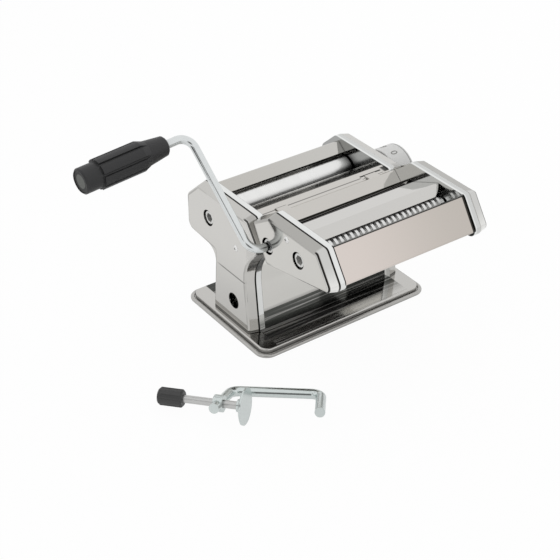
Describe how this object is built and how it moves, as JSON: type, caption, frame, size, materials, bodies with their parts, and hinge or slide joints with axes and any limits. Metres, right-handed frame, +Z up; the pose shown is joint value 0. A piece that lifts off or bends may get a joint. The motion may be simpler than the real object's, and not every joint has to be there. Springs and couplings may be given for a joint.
{
  "type": "pasta machine",
  "caption": "Hand-cranked pasta machine: smooth rollers with a thickness knob, hook-on cutter unit, bent crank with a ridged grip, base tray and a loose table clamp.",
  "frame": {"origin": "on the table under the middle of the base tray", "axes": "+X along the rollers from the crank to the thickness knob, +Y to the back, +Z up"},
  "size_m": [0.3575, 0.2648, 0.2174],
  "materials": {
    "polished_steel": "mirror-polished stainless sheet",
    "frame_steel": "bright stainless sheet",
    "roller_metal": "satin turned and anodised",
    "cutter_metal": "bright turned rings with dark grooves",
    "gear_steel": "plain machined",
    "socket_steel": "bright ring with a dark hexagonal bore",
    "crank_chrome": "bright chrome plate",
    "grip_plastic": "charcoal moulded plastic",
    "grip_cap_plastic": "mid-grey moulded plastic",
    "knob_plastic": "pale grey moulded plastic",
    "bush_plastic": "natural acetal",
    "spring_steel": "spring wire",
    "clamp_chrome": "bright zinc plate",
    "clamp_black": "black moulded plastic"
  },
  "bodies": {
    "root": {"base_plate": "polished_steel", "base_screws": "frame_steel", "main_frame_left": "frame_steel", "main_frame_right": "frame_steel", "main_cover_left": "polished_steel", "main_cover_right": "polished_steel", "main_tie_rods": "frame_steel", "main_cover_rivets": "frame_steel", "rear_hopper_plate": "polished_steel", "front_hopper_plate": "polished_steel", "leg_panel": "polished_steel", "rear_scraper": "bush_plastic", "front_scraper": "bush_plastic", "rear_roller_bushes": "bush_plastic", "regulator_bush": "bush_plastic", "index_plate": "frame_steel"},
    "rear_roller": {"rear_roller": "roller_metal", "rear_roller_gear": "gear_steel", "main_drive_socket": "socket_steel"},
    "regulator": {"regulator_shaft": "frame_steel", "regulator_retainer": "frame_steel", "regulator_spring": "spring_steel"},
    "knob": {"regulator_knob": "knob_plastic", "index_pin": "frame_steel", "regulator_cap": "knob_plastic"},
    "front_bushes": {"front_roller_bushes": "bush_plastic"},
    "front_roller": {"front_roller": "roller_metal", "front_roller_gear": "gear_steel"},
    "cutter_unit": {"cutter_frame_left": "frame_steel", "cutter_frame_right": "frame_steel", "cutter_cover_left": "polished_steel", "cutter_cover_right": "polished_steel", "cutter_cover_rivets": "frame_steel", "cutter_tie_rods": "frame_steel", "cutter_rear_plate": "polished_steel", "cutter_middle_plate": "polished_steel", "cutter_front_plate": "polished_steel", "cutter_bushes": "bush_plastic", "rear_cutter_combs": "bush_plastic", "front_cutter_combs": "bush_plastic"},
    "rear_cutter_drive": {"rear_cutter_drive_roller": "cutter_metal", "rear_cutter_drive_gear": "gear_steel", "rear_cutter_socket": "socket_steel"},
    "rear_cutter_idle": {"rear_cutter_idle_roller": "cutter_metal", "rear_cutter_idle_gear": "gear_steel"},
    "front_cutter_drive": {"front_cutter_drive_roller": "cutter_metal", "front_cutter_drive_gear": "gear_steel", "front_cutter_socket": "socket_steel"},
    "front_cutter_idle": {"front_cutter_idle_roller": "cutter_metal", "front_cutter_idle_gear": "gear_steel"},
    "crank": {"crank_rod": "crank_chrome", "grip_washer": "frame_steel"},
    "grip": {"crank_grip": "grip_plastic", "grip_cap": "grip_cap_plastic"},
    "clamp": {"clamp_frame": "clamp_chrome"},
    "clamp_pad": {"clamp_pad": "clamp_chrome"},
    "clamp_screw": {"clamp_screw": "clamp_chrome", "clamp_knob": "clamp_black"}
  },
  "joints": [
    {"name": "rear_roller_turn", "type": "hinge", "parent": "root", "child": "rear_roller", "pos_m": [0, 0.0373, 0.1082], "axis": [1, 0, 0], "continuous": true},
    {"name": "regulator_turn", "type": "hinge", "parent": "root", "child": "regulator", "pos_m": [0, 0.004, 0.1082], "axis": [1, 0, 0], "range_deg": [0, 180]},
    {"name": "knob_pull", "type": "slide", "parent": "regulator", "child": "knob", "axis": [1, 0, 0], "range_m": [0, 0.004], "stiffness_N_per_m": 1000, "springref_m": -0.004, "deforming": ["regulator_spring"]},
    {"name": "front_bushes_turn", "type": "hinge", "parent": "regulator", "child": "front_bushes", "pos_m": [0, 0.0019, 0.1082], "axis": [1, 0, 0], "range_deg": [-180, 0]},
    {"name": "front_roller_turn", "type": "hinge", "parent": "front_bushes", "child": "front_roller", "pos_m": [0, 0.0019, 0.1082], "axis": [1, 0, 0], "continuous": true},
    {"name": "cutter_lift_off", "type": "slide", "parent": "root", "child": "cutter_unit", "axis": [0, 0, 1], "range_m": [0, 0.05]},
    {"name": "crank_turn", "type": "hinge", "parent": "cutter_unit", "child": "rear_cutter_drive", "pos_m": [0, -0.0644, 0.1273], "axis": [1, 0, 0], "range_deg": [-100, 180]},
    {"name": "rear_cutter_idle_turn", "type": "hinge", "parent": "cutter_unit", "child": "rear_cutter_idle", "pos_m": [0, -0.08379, 0.12239], "axis": [1, 0, 0], "range_deg": [-180, 100]},
    {"name": "front_cutter_turn", "type": "hinge", "parent": "cutter_unit", "child": "front_cutter_drive", "pos_m": [0, -0.1122, 0.1363], "axis": [1, 0, 0], "continuous": true},
    {"name": "front_cutter_idle_turn", "type": "hinge", "parent": "cutter_unit", "child": "front_cutter_idle", "pos_m": [0, -0.13148, 0.13099], "axis": [1, 0, 0], "continuous": true},
    {"name": "crank_pull_out", "type": "slide", "parent": "rear_cutter_drive", "child": "crank", "axis": [-1, 0, 0], "range_m": [0, 0.025]},
    {"name": "grip_turn", "type": "hinge", "parent": "crank", "child": "grip", "pos_m": [-0.1135, 0.0378, 0.2054], "axis": [-0.9962, -0.0692, -0.0529], "continuous": true},
    {"name": "clamp_lift", "type": "slide", "parent": "root", "child": "clamp", "axis": [0, 0, 1], "range_m": [0, 0.02]},
    {"name": "clamp_advance", "type": "slide", "parent": "clamp", "child": "clamp_pad", "axis": [0.6091, -0.7894, 0.076], "range_m": [-0.008, 0.025]},
    {"name": "clamp_screw_turn", "type": "hinge", "parent": "clamp_pad", "child": "clamp_screw", "pos_m": [-0.18539, -0.11459, 0.01582], "axis": [0.6091, -0.7894, 0.076], "range_deg": [-1920, 6000]}
  ],
  "couplings": [
    {"joint": "front_roller_turn", "follows": "rear_roller_turn", "ratio": -1},
    {"joint": "front_bushes_turn", "follows": "regulator_turn", "ratio": -1},
    {"joint": "rear_cutter_idle_turn", "follows": "crank_turn", "ratio": -1},
    {"joint": "front_cutter_idle_turn", "follows": "front_cutter_turn", "ratio": -1},
    {"joint": "clamp_screw_turn", "follows": "clamp_advance", "rad_per_m": 4188.8}
  ]
}
